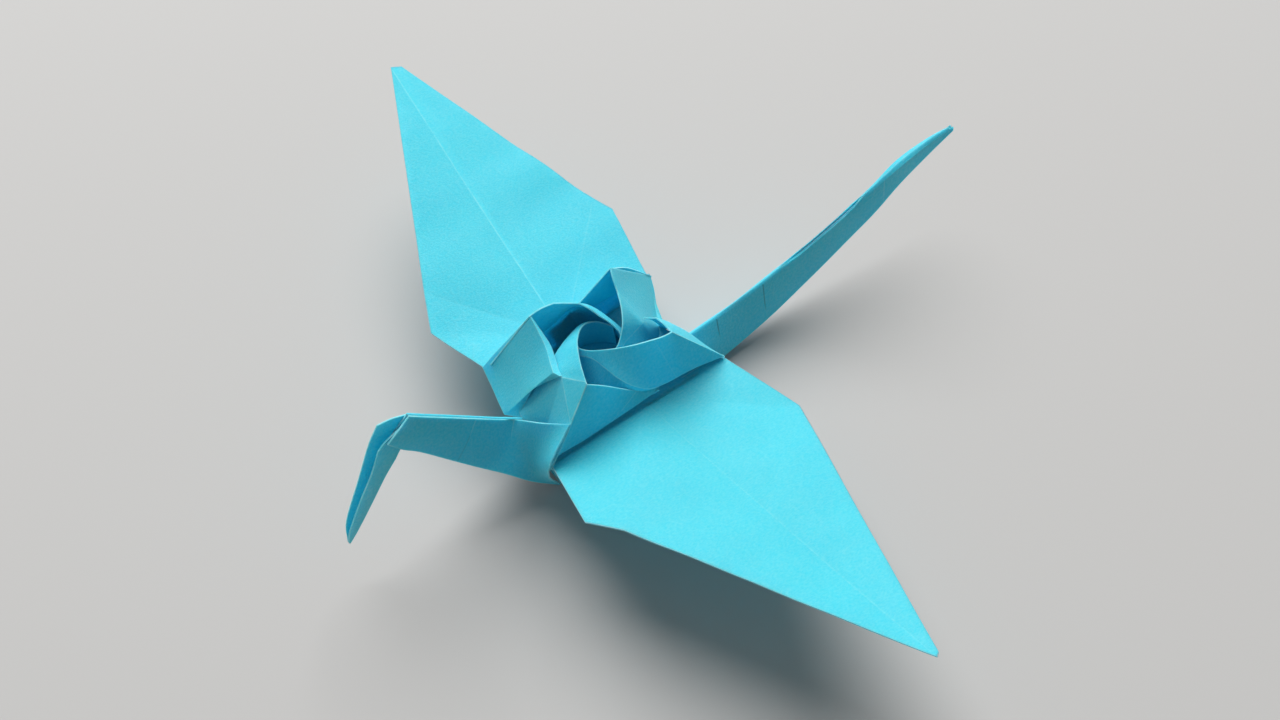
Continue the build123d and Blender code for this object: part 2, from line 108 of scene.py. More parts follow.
NEAR_PETAL = (
    ((11.9, -12.1, 16.9), (9.3, -11.8, 16.8), (6.1, -10.9, 16.9), (3.1, -9.7, 16.7), (0.2, -7.8, 16),
     (-1.6, -5.9, 15), (-3, -4, 13.8), (-4.3, -1.8, 12.4), (-5.2, 0.8, 11.2), (-4.6, 3.4, 10)),
    ((24.4, -15.4, 0.9), (15.3, -15.2, 3.2), (8, -14.9, 3.5), (3.4, -14.6, 4.8), (-0.4, -13.6, 8.2),
     (-2.7, -11.2, 10.4), (-3.7, -8.2, 11.5), (-4.6, -3.6, 11.5), (-6.2, 0.4, 10), (-5.6, 3.8, 8.8)),
    ((22.5, -12.6, -0.4), (15, -12.3, -0.4), (8, -12.2, -0.4), (3, -13.2, 1), (-2.5, -13.4, 1.5),
     (-6.5, -12.6, 1), (-9.2, -9, 0), (-9.6, -4.5, 0), (-8.7, 0, -0.4), (-6.5, 5, -0.4)),
)
FAR_PETAL = (
    ((-11.2, 11.7, 17), (-8.1, 11.6, 17.5), (-5, 10.8, 17.9), (-2.4, 9.3, 17.5), (0.2, 7.8, 16.9),
     (1.7, 6, 15.5), (3, 4, 13.8), (4.3, 1.8, 12.4), (5, -0.6, 11), (4.6, -3.2, 10)),
    ((-21.4, 15.6, 2.4), (-15.3, 15.2, 3.2), (-8, 14.9, 3.5), (-3.4, 14.8, 5), (0.2, 14.4, 8.2),
     (2.9, 11.9, 10.4), (4.2, 8.4, 11.5), (5.4, 3.6, 11.2), (6.4, -0.6, 9.8), (5.8, -3.8, 8.8)),
    ((-20.4, 12.6, -0.4), (-15, 12.3, -0.4), (-8, 11.8, -0.4), (-3, 11.6, -0.4), (2, 11.4, -0.4),
     (5, 10.4, -0.4), (8, 8, -0.4), (8.7, 4, -0.4), (8.5, 0, -0.4), (6.5, -5, -0.4)),
)
WING_FLAP = (
    ((-11.6, -11.95, 16.8), (-7.6, -12.5, 13.4), (-3.4, -13.3, 9.4), (0.2, -13.9, 6.1),
     (3.1, -14.2, 4.4), (6, -14.5, 3.1)),
    ((-18.2, -14.4, 9.9), (-15.2, -14.2, 7.8), (-9.4, -14.4, 5.6), (-4, -14.7, 4.2),
     (1, -14.75, 3.5), (5.8, -14.7, 3)),
    ((-25.9, -15.8, -0.4), (-22.9, -15.25, 2.3), (-15.5, -15.2, 2), (-8.2, -15.2, 2.4),
     (-1.1, -15.1, 2.6), (5.6, -14.9, 2.9)),
    ((-22, -12.6, -0.4), (-19, -12.6, -0.4), (-12, -12.6, -0.4), (-6, -12.6, -0.4),
     (-0.5, -12.6, -0.4), (5, -12.4, -0.4)),
)
FRONT_FLAP = (
    ((-10.8, 11.4, 16.9), (-10.8, 6.9, 15.2), (-11.1, 3.2, 14.2), (-12.3, -0.5, 13.7),
     (-13.4, -3.3, 13.8), (-13.7, -5, 14.1)),
    ((-11, 11.6, 17), (-11.6, 7.1, 15.5), (-12.3, 3.5, 14.5), (-13.6, 0, 14),
     (-14.7, -3, 14), (-14.1, -4.9, 14.2)),
    ((-13.6, 12.9, 13.4), (-14.2, 8.6, 12.1), (-14.9, 5.1, 11.2), (-16, 1.6, 10.6),
     (-17, -1.4, 10.9), (-16.2, -2.3, 11)),
    ((-16.9, 14.6, 8.7), (-17.5, 10.6, 7.7), (-18.2, 7.2, 6.9), (-19.2, 3.7, 6.3),
     (-20.2, 0.7, 6.2), (-18.6, 0.7, 6.8)),
    ((-19.9, 16, 4.6), (-20.3, 12.9, 3), (-20.9, 9.6, 2.2), (-21.8, 6.2, 1.5),
     (-22.7, 2.9, 1.2), (-20.9, 1.4, 2)),
    ((-22.8, 17.3, 0.5), (-23.2, 14.6, -0.8), (-23.7, 11.6, -1.8), (-24.4, 8.3, -2.6),
     (-25, 5, -3.2), (-22.8, 1.2, -1.5)),
)
REAR_FLAP = (
    ((11.95, -12.05, 16.9), (12.4, -8.2, 15.8), (12.8, -4.6, 14), (11.2, -1.8, 12.4)),
    ((18, -13.7, 9), (18.4, -9, 8.5), (17.5, -4, 7.4), (15.2, 0.3, 6.5)),
    ((24.6, -15.5, 0.5), (23, -9.5, -0.2), (20.8, -3.5, -0.4), (18.6, 2.2, -0.4)),
)
FRONT_PETAL_CREASES = (Crease("row", 1, 0.5, 0, 7), Crease("column", 1, 0.7, 0, 1))
REAR_PETAL_CREASES = (Crease("row", 1, 0.35, 3, 8), Crease("column", 3, 0.4, 0, 1))
NEAR_PETAL_CREASES = (Crease("row", 1, 0.6, 0, 8), Crease("column", 1.6, 0.15, 0, 1))
FAR_PETAL_CREASES = (
    Crease("row", 1, 0.4, 0, 8),
    Crease("column", 4.4, 0.3, 0.25, 1),
    Crease("column", 6, 0.25, 0.25, 1),
)
WING_FLAP_CREASES = (Crease("row", 2, 0.6, 0, 5), Crease("column", 2, 0.5, 0, 2))
FRONT_FLAP_CREASES = (Crease("row", 1, 0.5, 0, 5),)

# Guide lines of the neck, head and tail
NECK_NEAR = (
    ((-48.7, -0.4, 25), (-45.6, -0.4, 21.9), (-42.5, -0.4, 18.8), (-35.8, -0.4, 12.1),
     (-29.1, -0.4, 5.4), (-24.4, -0.4, 0.8), (-21.2, -7.3, 4.7), (-18.2, -14.5, 10.1)),
    ((-52, -0.9, 23), (-49.2, -1.1, 19), (-45.9, -1.2, 15.6), (-39.7, -1.8, 8.3),
     (-33.2, -2.7, 1.2), (-28.4, -3.2, -4), (-25, -7.4, -7), (-26, -15.8, -0.5)),
    ((-55.2, -1.2, 21), (-52.4, -1.2, 16.5), (-49, -1.4, 12.6), (-43.3, -2.5, 4.9),
     (-37.3, -4.2, -2.5), (-32.8, -5.9, -7.5), (-27.2, -7.4, -14.4), (-20.2, -8.5, -21.7)),
)
NECK_RIDGE = ((-48.6, 24.9), (-42.5, 18.8), (-35.8, 12.1), (-29.1, 5.4), (-24.4, 0.8), (-18.5, -5.1))
NECK_RIDGE_HALF = 0.4
NECK_RIDGE_TOP = (-0.2, 0.4)     # from the ridge's sides to its top, forwards and up
NECK_FAR_FOOT = (
    (-54.2, 1, 19.2), (-49.3, 1.2, 12), (-43.6, 1.8, 4.3), (-37.6, 2.4, -3.1),
    (-33.1, 2.8, -8), (-26.5, 3, -14),
)
HEAD_NEAR = (
    (-50.5, -0.8, 23), (-55.3, -1, 21.4), (-57.5, -1.4, 20.2), (-60.6, -1.5, 14),
    (-64.6, -1.4, 7.5), (-69.4, -1.1, -1.8), (-70.5, -0.4, -6.8),
)
HEAD_FOLD = (
    (-50.4, 0.4, 16.2), (-52.4, 0.45, 15.4), (-54.3, 0.5, 13), (-57.8, 0.5, 9),
    (-62, 0.45, 3.2), (-67.5, 0.4, -4.2), (-70.2, 0.2, -7.7),
)
HEAD_FAR = (
    (-48.7, 0.9, 24), (-52, 1.4, 24.7), (-55.2, 1.6, 24.9), (-58.2, 1.6, 20.5),
    (-63.1, 1.5, 10.7), (-69, 1.1, -0.6), (-70.5, 0.4, -6.8),
)
TAIL_STATIONS = (      # reach, ridge height, wall depth, half opening, half ridge
    (20, -8.8, 12.8, 4.4, 0.4),
    (30, -7.9, 12.9, 3.6, 0.38),
    (40.2, -6.7, 12.6, 2.8, 0.36),
    (54.6, -3.6, 12.4, 2, 0.32),
    (69.1, 0.4, 10.3, 1.6, 0.3),
    (83.5, 5.7, 8.6, 1.3, 0.34),
    (92.9, 9.7, 6.8, 1, 0.75),
    (103, 11.6, 3.7, 0.8, 0.45),
    (110.8, 11.4, 0.9, 0.4, 0.3),
)
TAIL_RIDGE_DROP = 0.35           # sides of the tail's ridge under its top
# A crease with a value below 0 gets painted shade, darker along the fold
NECK_CREASES = (
    Crease("column", 3.2, 0.5, 0, 0.5),
    Crease("column", 3.2, -0.25, 0.75, 2),
    Crease("column", 4.8, 0.45, 0, 0.5),
)
NECK_RIDGE_CREASES = (Crease("row", 1, 0.6, 0, 5),)
HEAD_CREASES = (Crease("row", 1, 0.3, 0, 6),)
# The two creases below 0 get painted shade along their folds
TAIL_CREASES = (
    Crease("row", 2, 0.35, 0, 8),
    Crease("column", 1.4, -0.8, 3, 3.4),
    Crease("column", 2.6, -0.7, 3, 3.5),
    Crease("column", 5.4, 0.3, 3, 4),
)

# Corners of the wings, from the root round the edge
NEAR_WING = {
    "root": (2.3, -13.8, -0.3), "front": (-24.6, -13.8, -0.5), "front_shoulder": (-28.8, -34.7, 6.3),
    "bend": (-23.8, -42.2, 8.3), "tip": (6, -104.2, 14.9), "tip_rear": (7, -103.6, 14.8),
    "rear_shoulder": (30.2, -36.4, -0.4), "rear": (24.3, -13.8, -0.1),
}
FAR_WING = {
    "root": (-1.5, 13.8, -0.3), "front": (-21.8, 15.5, -0.4), "front_shoulder": (-27.2, 34, 0.9),
    "front_bend": (-22.7, 44, 3), "tip": (5.8, 104, 17.2), "tip_rear": (8.5, 103.3, 16.5),
    "bend": (26.8, 41.4, 6.7), "rear_shoulder": (28.8, 35.9, 5.6), "rear": (24.5, 13.8, 0),
}
NEAR_WING_CREASES = (WingCrease("tip", 0.16, 0.9), WingCrease("bend", 0.03, 0.1))
FAR_WING_CREASES = (
    WingCrease("tip", 0.34, 0.15),
    WingCrease("bend", 0.16, 0.6),
    WingCrease("front_bend", 0.1, 0.4),
)
# Pale of rubbed dye along the wings' edges, partly painted highlight
WING_EDGE_WEAR_AND_HIGHLIGHT = 0.55
WING_CUTS_ALONG_BODY = range(-27, 30, 3)     # places of the cuts in mm
WING_CUTS_OUTWARDS = range(17, 104, 3)
CREASE_CUTS = (-0.3, 0, 0.3)     # cuts beside and along a wing's crease
CREASE_HALF = 0.02               # half width of the pale line of a wing's crease: rubbed dye, partly painted highlight
CREASE_START = 0.02              # stretch of a wing's crease that is pale, as shares of its length
CREASE_END = 0.985
VALLEY_REACH = 9                 # how far from a crease the wing dips towards it
VALLEY_FADE = 6                  # a valley fades in and out over one part in this many
RIPPLE_SCALE = (0.025, 0.075)    # along the body and along the wing
RIPPLE_START = (0.4, 2.2)
ARCH = 4                         # makes the arch from root to tip 1 high in its middle

# Corners of the body under the deck
BODY = {
    "front_near": (-25.2, -15.2, -0.5), "rear_near": (24, -15.1, -0.3),
    "rear_far": (24, 15.1, -0.3), "front_far": (-22.2, 14.6, -0.6),
    "belly_front_near": (-20, -8.5, -22.2), "belly_front_far": (-20, 8.5, -22.2),
    "belly_rear_near": (23, -6.5, -22.2), "belly_rear_far": (23, 6.5, -22.2),
    "neck_far": (-22.5, 1.2, -2.5), "neck_low_far": (-21.6, 2.3, -15.4),
    "tail_top_near": (18, -0.6, -7.6), "tail_low_near": (30, -3.6, -21.1),
    "tail_top_far": (18, 0.6, -7.6), "tail_low_far": (20, 3.8, -21.1),
}
BODY_PANELS = (
    ("front_near", "belly_front_near", "belly_rear_near", "rear_near"),
    ("front_far", "rear_far", "belly_rear_far", "belly_front_far"),
    ("belly_front_near", "belly_front_far", "belly_rear_far", "belly_rear_near"),
    ("front_far", "belly_front_far", "neck_low_far"),
    ("front_far", "neck_low_far", "neck_far"),
    ("rear_near", "belly_rear_near", "tail_low_near"),
    ("rear_near", "tail_low_near", "tail_top_near"),
    ("rear_far", "tail_low_far", "belly_rear_far"),
    ("rear_far", "tail_top_far", "tail_low_far"),
)
BODY_CUTS = range(-20, 28, 4)
# Pale of rubbed dye along the body's edges, partly painted highlight
BODY_EDGE_WEAR_AND_HIGHLIGHT = 0.8
BODY_WOBBLE = 0.1
DECK_OUTLINE = ((-24.3, -15.3), (24.3, -15.3), (18.7, 0), (24.5, 15.3), (-21, 14.4), (-17.5, 0))
DECK_TOP = -0.2                  # the deck's sheet lies this far under the guide points' level
STERN = (18.5, 0, -0.3)
STERN_WEBS = (
    (BODY["rear_near"], STERN, BODY["tail_top_near"]),
    (BODY["rear_far"], BODY["tail_top_far"], STERN),
)

# Surface of the paper; spans are of the noise that is used
SHEEN = 0.22
GLOW_SHARE = 0.85
GLOW_COLOUR = (0.35, 0.9, 1.0)   # how far red, green and blue travel, as shares of the glow
DEEPER_DYE = 0.93
LIGHTER_DYE = 1.03
LIGHTER_DYE_LIFT = 0.006
DYE_EVENNESS = 0.5
DYE_SCALE = 60
FIBRE_SCALE = 1500
FIBRE_STRETCH = (1, 1.9, 1)
FIBRE_SHARE = 0.15
# Noise that breaks up the pale of rubbed folds and edges, which is partly painted highlight
WEAR_AND_HIGHLIGHT_SCALE = 420
GLOSS_SCALE = 260
SPECK_SCALE = 55
NOISE_SPAN = (0.3, 0.7)
WEAR_AND_HIGHLIGHT_SPAN = (0.3, 0.62)
WEAR_AND_HIGHLIGHT_SHARE = (0.25, 0.8)
SPECK_SPAN = (0.008, 0.016)
SPECK_SHARE = (0.6, 0)
GLOSS_DRIFT = (-0.05, 0.07)      # round the paper's roughness
SPECK_AND_CREASE_SHADE_SHARE = 0.3                 # specks of the paper, and painted shade in creases, as a share of the paper's colour
FIBRE_BUMP = 0.22
FIBRE_HEIGHT = 0.0002
MIX_FACTOR, MIX_FIRST, MIX_SECOND, MIX_COLOUR_OUT = 0, 6, 7, 2

# Floor, lamp and camera, in metres and degrees
FLOOR_HALF = 3
FLOOR_ROUGHNESS = 0.9
LAMP_PLACE = (0.5, 1.04, 1.64)
LAMP_SIZE = 2.0
CAMERA_PLACE = (-0.09517, -0.16058, 0.28245)
CAMERA_TURN = (35.82, 2.07, -36.26)
CAMERA_SENSOR = 36
CAMERA_LENS = 37.97
CAMERA_NEAREST = 0.01


class PaperSettings(PropertyGroup):
    """Colour and surface of the paper"""

    colour: FloatVectorProperty(
        name="Paper", description="Colour of the flat paper",
        subtype="COLOR", size=3, min=0, max=1, default=(0.050, 0.630, 0.840))
    # Pale of rubbed dye at creases and edges, which also stands in as painted highlight on rounded folds
    pale: FloatVectorProperty(
        name="Worn fold", description="Colour of creases and edges where the dye has rubbed off",
        subtype="COLOR", size=3, min=0, max=1, default=(0.50, 0.90, 0.96))
    thickness: FloatProperty(
        name="Thickness", description="Paper of a petal, with its folded layers",
        unit="LENGTH", subtype="DISTANCE", min=0.0001, default=0.00032)
    glow_depth: FloatProperty(
        name="Glow", description="How far light travels inside the paper, so that it shines through",
        unit="LENGTH", subtype="DISTANCE", min=0, precision=5, default=0.0009)
    roughness: FloatProperty(
        name="Roughness", description="Roughness of the uncoated surface", min=0, max=1, default=0.50)


class StageSettings(PropertyGroup):
    """Light and floor"""

    key_power: FloatProperty(
        name="Key light", description="Power of the soft overhead light",
        unit="POWER", subtype="POWER", min=0, default=54.0)
    fill: FloatProperty(name="Fill", description="Strength of the light from all round", min=0, default=0.18)
    backdrop: FloatProperty(
        name="Backdrop", description="Brightness of the plain background behind the floor",
        min=0, max=1, default=0.55)
    floor_colour: FloatVectorProperty(
        name="Floor", description="Colour of the floor",
        subtype="COLOR", size=3, min=0, max=1, default=(0.545, 0.54, 0.53))


def paper():
    """Settings of the paper."""
    return bpy.context.scene.rose_crane_paper


def paper_mm(layers=1):
    """Thickness in mm of some layers of paper."""
    return paper().thickness / MM * layers


def same(first, second):
    """Whether two places on a sheet are one."""
    return abs(first - second) < SAME_PLACE


def flow(points, per, turns=()):
    """Smooth line through guide points, with a sharp turn at the numbered ones."""
    points = [Vector(point) for point in points]
    last = len(points) - 1
    line = [points[0]]
    for i in range(last):
        a, b = points[i], points[i + 1]
        # A straight handle is a third of the step, a smooth one a sixth of the way between neighbours
        straight = (b - a) / 3
        lead = straight if i == 0 or i in turns else (b - points[i - 1]) / 6
        trail = straight if i + 1 == last or i + 1 in turns else (points[i + 2] - a) / 6
        longest = straight.length * LONGEST_HANDLE
        for handle in (lead, trail):
            if handle.length > longest:
                handle *= longest / handle.length
        line += interpolate_bezier(a, a + lead, b - trail, b, per + 1)[1:]
    return line


def towards(row, other):
    """A row moved by the width of an edge towards another row."""
    moved = []
    for p, q in zip(row, other):
        share = EDGE_WIDTH / max((q - p).length, SAME_PLACE)
        moved.append(p + (q - p) * min(WIDEST_EDGE, share))
    return moved


def close_rows(rows, places, marked):
    """Adds a row on each side of a marked one, so that its pale line stays narrow."""
    out, out_places = [], []
    for i, row in enumerate(rows):
        mark = any(same(places[i], m) for m in marked)
        if mark and i > 0:
            out.append(towards(row, rows[i - 1]))
            out_places.append(places[i] - BESIDE)
        out.append(row)
        out_places.append(places[i])
        if mark and i + 1 < len(rows):
            out.append(towards(row, rows[i + 1]))
            out_places.append(places[i] + BESIDE)
    return out, out_places


def wear_and_painted_light_at(u, v, far_u, far_v, creases, rim):
    """How pale the paper is at one place, from rubbed dye that also paints highlight, and how much painted
    shade it has: at its edges, and along its creases.
    """
    edge = same(u, 0) or same(v, 0) or same(u, far_u) or same(v, far_v)
    wear = rim if edge else 0.0
    for crease in creases:
        here, there = (v, u) if crease.kind == "row" else (u, v)
        on_crease = same(here, crease.place) and crease.start <= there <= crease.end
        if on_crease and abs(crease.wear) > abs(wear):
            wear = crease.wear
    return wear


def sheet(bm, lines, thickness, turns=(), folds=(), creases=(), rim=0.6, wobble=0.12):
    """Paper laid on guide lines. It turns sharply at numbered points, and folds at numbered lines."""
    guides = [flow(line, ALONG, turns) for line in lines]
    columns = [flow(column, ACROSS, folds) for column in zip(*guides)]
    far_u, far_v = len(lines[0]) - 1, len(lines) - 1
    us = [i / ALONG for i in range(len(columns))]
    vs = [j / ACROSS for j in range(len(columns[0]))]
    col_marks = [0, far_u] + [crease.place for crease in creases if crease.kind == "column"]
    row_marks = [0, far_v] + [crease.place for crease in creases if crease.kind == "row"]
    columns, us = close_rows(columns, us, col_marks)
    rows, vs = close_rows(list(zip(*columns)), vs, row_marks)
    grid = bmesh.ops.create_grid(bm, x_segments=len(us) - 1, y_segments=len(vs) - 1, size=1)["verts"]
    wear_and_painted_light = bm.verts.layers.float["wear_and_painted_light"]
    for vert in grid:
        # The new grid runs from -1 to 1 both ways
        i = round((vert.co.x + 1) / 2 * (len(us) - 1))
        j = round((vert.co.y + 1) / 2 * (len(vs) - 1))
        vert.co = rows[j][i]
        # Pale of rubbed dye with painted highlight at edges and creases, and painted shade in some creases
        vert[wear_and_painted_light] = wear_and_painted_light_at(us[i], vs[j], far_u, far_v, creases, rim)
    finish_sheet(bm, grid, thickness, wobble)


def turned_over(lines):
    """Guide lines run backwards, so that the sheet faces the other way."""
    return [line[::-1] for line in lines]


def flat_sheet(bm, corners, thickness):
    """A flat piece of paper with the given corners."""
    verts = [bm.verts.new(place) for place in corners]
    bm.faces.new(verts)
    finish_sheet(bm, verts, thickness, 0)


def finish_sheet(bm, verts, thickness, wobble):
    """Lets the paper buckle a little and gives it its thickness, away from the side it faces."""
    bm.normal_update()
    for vert in verts:
        drift = noise.noise(vert.co * BUCKLE_SCALE + BUCKLE_START)
        vert.co += vert.normal * drift * wobble
    bm.normal_update()
    inward = bm.verts.layers.float_vector["inward"]
    for vert in verts:
        vert[inward] = vert.normal * (-thickness * min(vert.calc_shell_factor(), STEEPEST_SHELL))
    faces = list({face for vert in verts for face in vert.link_faces})
    copied = bmesh.ops.extrude_face_region(bm, geom=faces, use_keep_orig=True)["geom"]
    for vert in copied:
        if isinstance(vert, bmesh.types.BMVert):
            vert.co += vert[inward]


def add_border(bm):
    """Sets a narrow strip along the open edges, so that their pale line stays narrow."""
    bmesh.ops.inset_region(
        bm, faces=bm.faces[:], thickness=EDGE_WIDTH, use_boundary=True, use_even_offset=True)


def mark_edge_wear_and_highlight(bm, wear):
    """Marks the open edges as rubbed pale, which also paints the highlight of a rounded edge."""
    wear_and_painted_light = bm.verts.layers.float["wear_and_painted_light"]
    for vert in bm.verts:
        if vert.is_boundary:
            vert[wear_and_painted_light] = wear


def cut_up(bm, cuts):
    """Cuts the faces along planes, each with a place and a normal, so that they can bend."""
    for place, normal in cuts:
        parts = bm.verts[:] + bm.edges[:] + bm.faces[:]
        bmesh.ops.bisect_plane(bm, geom=parts, dist=CUT_SNAP, plane_co=place, plane_no=normal)


def new_paper():
    """An empty mesh of paper that notes where it is rubbed pale with painted highlight, and where it has
    painted shade.
    """
    bm = bmesh.new()
    bm.verts.layers.float.new("wear_and_painted_light")
    bm.verts.layers.float_vector.new("inward")
    return bm


def finish_piece(bm, name):
    """Sets the paper down in its place as a piece of the crane."""
    bm.verts.layers.float_vector.remove(bm.verts.layers.float_vector["inward"])
    bmesh.ops.recalc_face_normals(bm, faces=bm.faces)
    bmesh.ops.translate(bm, vec=(0, 0, DECK), verts=bm.verts)
    bmesh.ops.scale(bm, vec=(MM, MM, MM), verts=bm.verts)
    mesh = bpy.data.meshes.new(name)
    bm.to_mesh(mesh)
    bm.free()
    mesh.polygons.foreach_set("use_smooth", [True] * len(mesh.polygons))
    mesh.set_sharp_from_angle(angle=math.radians(SHARP_FOLD))
    piece = bpy.data.objects.new(name, mesh)
    bpy.context.collection.objects.link(piece)
    mesh.materials.append(paper_material())
    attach(piece, "root")
    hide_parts(NODE)


def feed(tree, value, socket):
    """Links another node's socket to this one, or sets it to a plain value."""
    if isinstance(value, NodeSocket):
        tree.links.new(value, socket)
    else:
        socket.default_value = value


def cloud(tree, place, scale, detail, stretch=(1, 1, 1)):
    """Soft noise over the paper."""
    mapping = tree.nodes.new("ShaderNodeMapping")
    texture = tree.nodes.new("ShaderNodeTexNoise")
    feed(tree, place, mapping.inputs["Vector"])
    feed(tree, stretch, mapping.inputs["Scale"])
    feed(tree, mapping.outputs["Vector"], texture.inputs["Vector"])
    feed(tree, scale, texture.inputs["Scale"])
    feed(tree, detail, texture.inputs["Detail"])
    return texture.outputs[0]


def spread(tree, source, span, to=(0, 1)):
    """Stretches a span of values to another."""
    node = tree.nodes.new("ShaderNodeMapRange")
    feed(tree, source, node.inputs["Value"])
    for key, value in zip(("From Min", "From Max", "To Min", "To Max"), (*span, *to)):
        feed(tree, value, node.inputs[key])
    return node.outputs["Result"]


def product(tree, first, second):
    """Multiplies two values."""
    node = tree.nodes.new("ShaderNodeMath")
    node.operation = "MULTIPLY"
    feed(tree, first, node.inputs[0])
    feed(tree, second, node.inputs[1])
    return node.outputs[0]


def mixed(tree, factor, first, second):
    """Mixes two colours."""
    node = tree.nodes.new("ShaderNodeMix")
    node.data_type = "RGBA"
    feed(tree, factor, node.inputs[MIX_FACTOR])
    feed(tree, first, node.inputs[MIX_FIRST])
    feed(tree, second, node.inputs[MIX_SECOND])
    return node.outputs[MIX_COLOUR_OUT]


def paper_colour(tree, place, fibre):
    """Cloudy dye with pale fibres, pale rubbed folds that also paint highlight, a few specks, and painted
    shade in creases.
    """
    settings = paper()
    base = (*settings.colour, 1)
    pale = (*settings.pale, 1)
    deeper = (*(c * DEEPER_DYE for c in settings.colour), 1)
    lighter = (*(min(1, c * LIGHTER_DYE + LIGHTER_DYE_LIFT) for c in settings.colour), 1)
    # Colour of the paper's specks, and painted shade in creases
    speck_and_crease_shade = (*(c * SPECK_AND_CREASE_SHADE_SHARE for c in settings.colour), 1)
    dye = spread(tree, cloud(tree, place, DYE_SCALE, detail=4), NOISE_SPAN)
    colour = mixed(tree, dye, deeper, lighter)
    colour = mixed(tree, DYE_EVENNESS, colour, base)
    colour = mixed(tree, product(tree, fibre, FIBRE_SHARE), colour, pale)
    # Rubbed pale at edges and creases, partly painted highlight of rounded folds
    wear_and_painted_light = tree.nodes.new("ShaderNodeAttribute")
    wear_and_painted_light.attribute_name = "wear_and_painted_light"
    broken = spread(tree, cloud(tree, place, WEAR_AND_HIGHLIGHT_SCALE, detail=3), WEAR_AND_HIGHLIGHT_SPAN, WEAR_AND_HIGHLIGHT_SHARE)
    colour = mixed(tree, product(tree, wear_and_painted_light.outputs["Fac"], broken), colour, pale)
    specks = tree.nodes.new("ShaderNodeTexVoronoi")
    feed(tree, SPECK_SCALE, specks.inputs["Scale"])
    feed(tree, place, specks.inputs["Vector"])
    colour = mixed(tree, spread(tree, specks.outputs["Distance"], SPECK_SPAN, SPECK_SHARE), colour, speck_and_crease_shade)
    # Creases marked below 0 get painted shade
    return mixed(tree, product(tree, wear_and_painted_light.outputs["Fac"], -1), colour, speck_and_crease_shade)


def paper_material():
    """Uncoated turquoise paper that lets a little light through."""
    name = "turquoise paper"
    if name in bpy.data.materials:
        return bpy.data.materials[name]
    settings = paper()
    material = bpy.data.materials.new(name)
    material.use_nodes = True
    tree = material.node_tree
    shader = tree.nodes["Principled BSDF"]
    feed(tree, SHEEN, shader.inputs["Specular IOR Level"])
    feed(tree, GLOW_SHARE, shader.inputs["Subsurface Weight"])
    feed(tree, GLOW_COLOUR, shader.inputs["Subsurface Radius"])
    feed(tree, settings.glow_depth, shader.inputs["Subsurface Scale"])
    place = tree.nodes.new("ShaderNodeTexCoord").outputs["Object"]
    fibre = spread(tree, cloud(tree, place, FIBRE_SCALE, detail=4, stretch=FIBRE_STRETCH), NOISE_SPAN)
    feed(tree, paper_colour(tree, place, fibre), shader.inputs["Base Color"])
    gloss = [settings.roughness + drift for drift in GLOSS_DRIFT]
    rough = spread(tree, cloud(tree, place, GLOSS_SCALE, detail=3), NOISE_SPAN, gloss)
    feed(tree, rough, shader.inputs["Roughness"])
    bump = tree.nodes.new("ShaderNodeBump")
    feed(tree, FIBRE_BUMP, bump.inputs["Strength"])
    feed(tree, FIBRE_HEIGHT, bump.inputs["Distance"])
    feed(tree, fibre, bump.inputs["Height"])
    feed(tree, bump.outputs["Normal"], shader.inputs["Normal"])
    return material


class CRANE_OT_wings(Operator):
    """Folds the two wings"""

    bl_idname = "crane.wings"
    bl_label = "Wings"

    def execute(self, context):
        self.fold("near_wing", NEAR_WING, NEAR_WING_CREASES, sag=0.2, wave=0.6)
        self.fold("far_wing", FAR_WING, FAR_WING_CREASES, sag=0.9, wave=1.1)
        return {"FINISHED"}

    def fold(self, name, corners, creases, sag, wave):
        """One wing: panels round its root, cut up, pressed along its creases and left to sag."""
        bm = new_paper()
        side = -1 if corners["tip"][1] < 0 else 1
        corner = {key: bm.verts.new(place) for key, place in corners.items()}
        edge = [key for key in corners if key != "root"]
        if side > 0:
            edge.reverse()
        for key, following in zip(edge, edge[1:]):
            bm.faces.new([corner["root"], corner[key], corner[following]])
        add_border(bm)
        cuts = [((x, 0, 0), (1, 0, 0)) for x in WING_CUTS_ALONG_BODY]
        cuts += [((0, side * y, 0), (0, 1, 0)) for y in WING_CUTS_OUTWARDS]
        root = Vector(corners["root"])
        lines = []
        for crease in creases:
            run = Vector(corners[crease.corner]) - root
            across = Vector((-run.y, run.x, 0)).normalized()
            lines.append((run, across, crease))
            cuts += [(root + across * offset, across) for offset in CREASE_CUTS]
        cut_up(bm, cuts)
        # Pale edges and creases: rubbed dye, partly painted highlight
        mark_edge_wear_and_highlight(bm, WING_EDGE_WEAR_AND_HIGHLIGHT)
        reach = abs(corners["tip"][1] - corners["root"][1])
        wear_and_painted_light = bm.verts.layers.float["wear_and_painted_light"]
        for vert in bm.verts:
            share = min(1, max(0, abs(vert.co.y - corners["root"][1]) / reach))
            ripple = self.ripple(vert.co)
            for run, across, crease in lines:
                along = (vert.co - root).dot(run.normalized()) / run.length
                aside = abs((vert.co - root).dot(across))
                if aside < CREASE_HALF and CREASE_START < along < CREASE_END:
                    vert[wear_and_painted_light] = max(vert[wear_and_painted_light], crease.wear)
                fade = max(0, min(1, along * VALLEY_FADE, (1 - along) * VALLEY_FADE))
                vert.co.z -= crease.valley * max(0, 1 - aside / VALLEY_REACH) * fade
            vert.co.z += (wave * ripple - sag) * ARCH * share * (1 - share)
        finish_sheet(bm, bm.verts[:], paper_mm(WING_LAYERS), 0.0)
        finish_piece(bm, name)

    def ripple(self, place):
        """Slow unevenness of a wing at one place."""
        along_body = place.x * RIPPLE_SCALE[0] + RIPPLE_START[0]
        return noise.noise(Vector((along_body, place.y * RIPPLE_SCALE[1], RIPPLE_START[1])))


